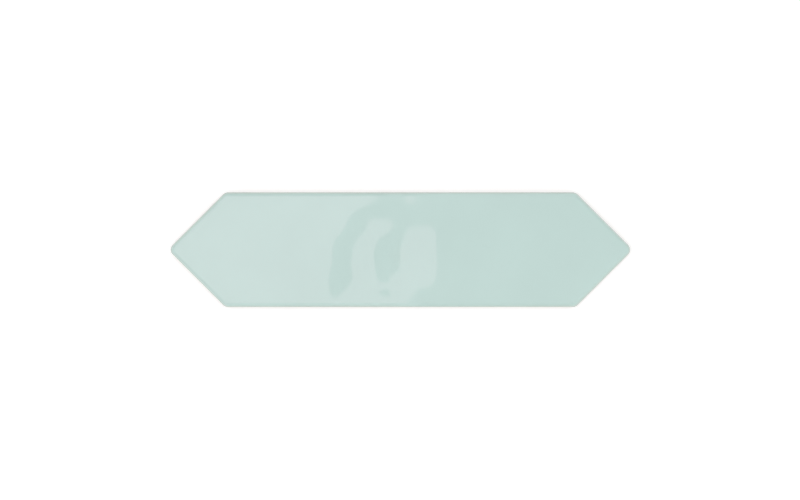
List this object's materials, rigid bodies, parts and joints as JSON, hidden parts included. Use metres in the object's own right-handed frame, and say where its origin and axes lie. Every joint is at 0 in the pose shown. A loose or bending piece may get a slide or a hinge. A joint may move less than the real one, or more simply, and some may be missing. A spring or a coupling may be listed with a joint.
{
  "type": "picket tile",
  "caption": "Long six-sided glazed wall tile with a right-angled point at each end, a softly wavy gloss face and a grooved back, set in adhesive and grouted.",
  "frame": {"origin": "middle of the back, on the plane that is laid into the adhesive", "axes": "+X along the length towards one point, +Y across the width towards one long edge, +Z out of the glazed face"},
  "size_m": [0.3, 0.075, 0.0089],
  "materials": {
    "glaze": "gloss"
  },
  "bodies": {
    "root": {"picket_tile": "glaze"}
  },
  "joints": []
}
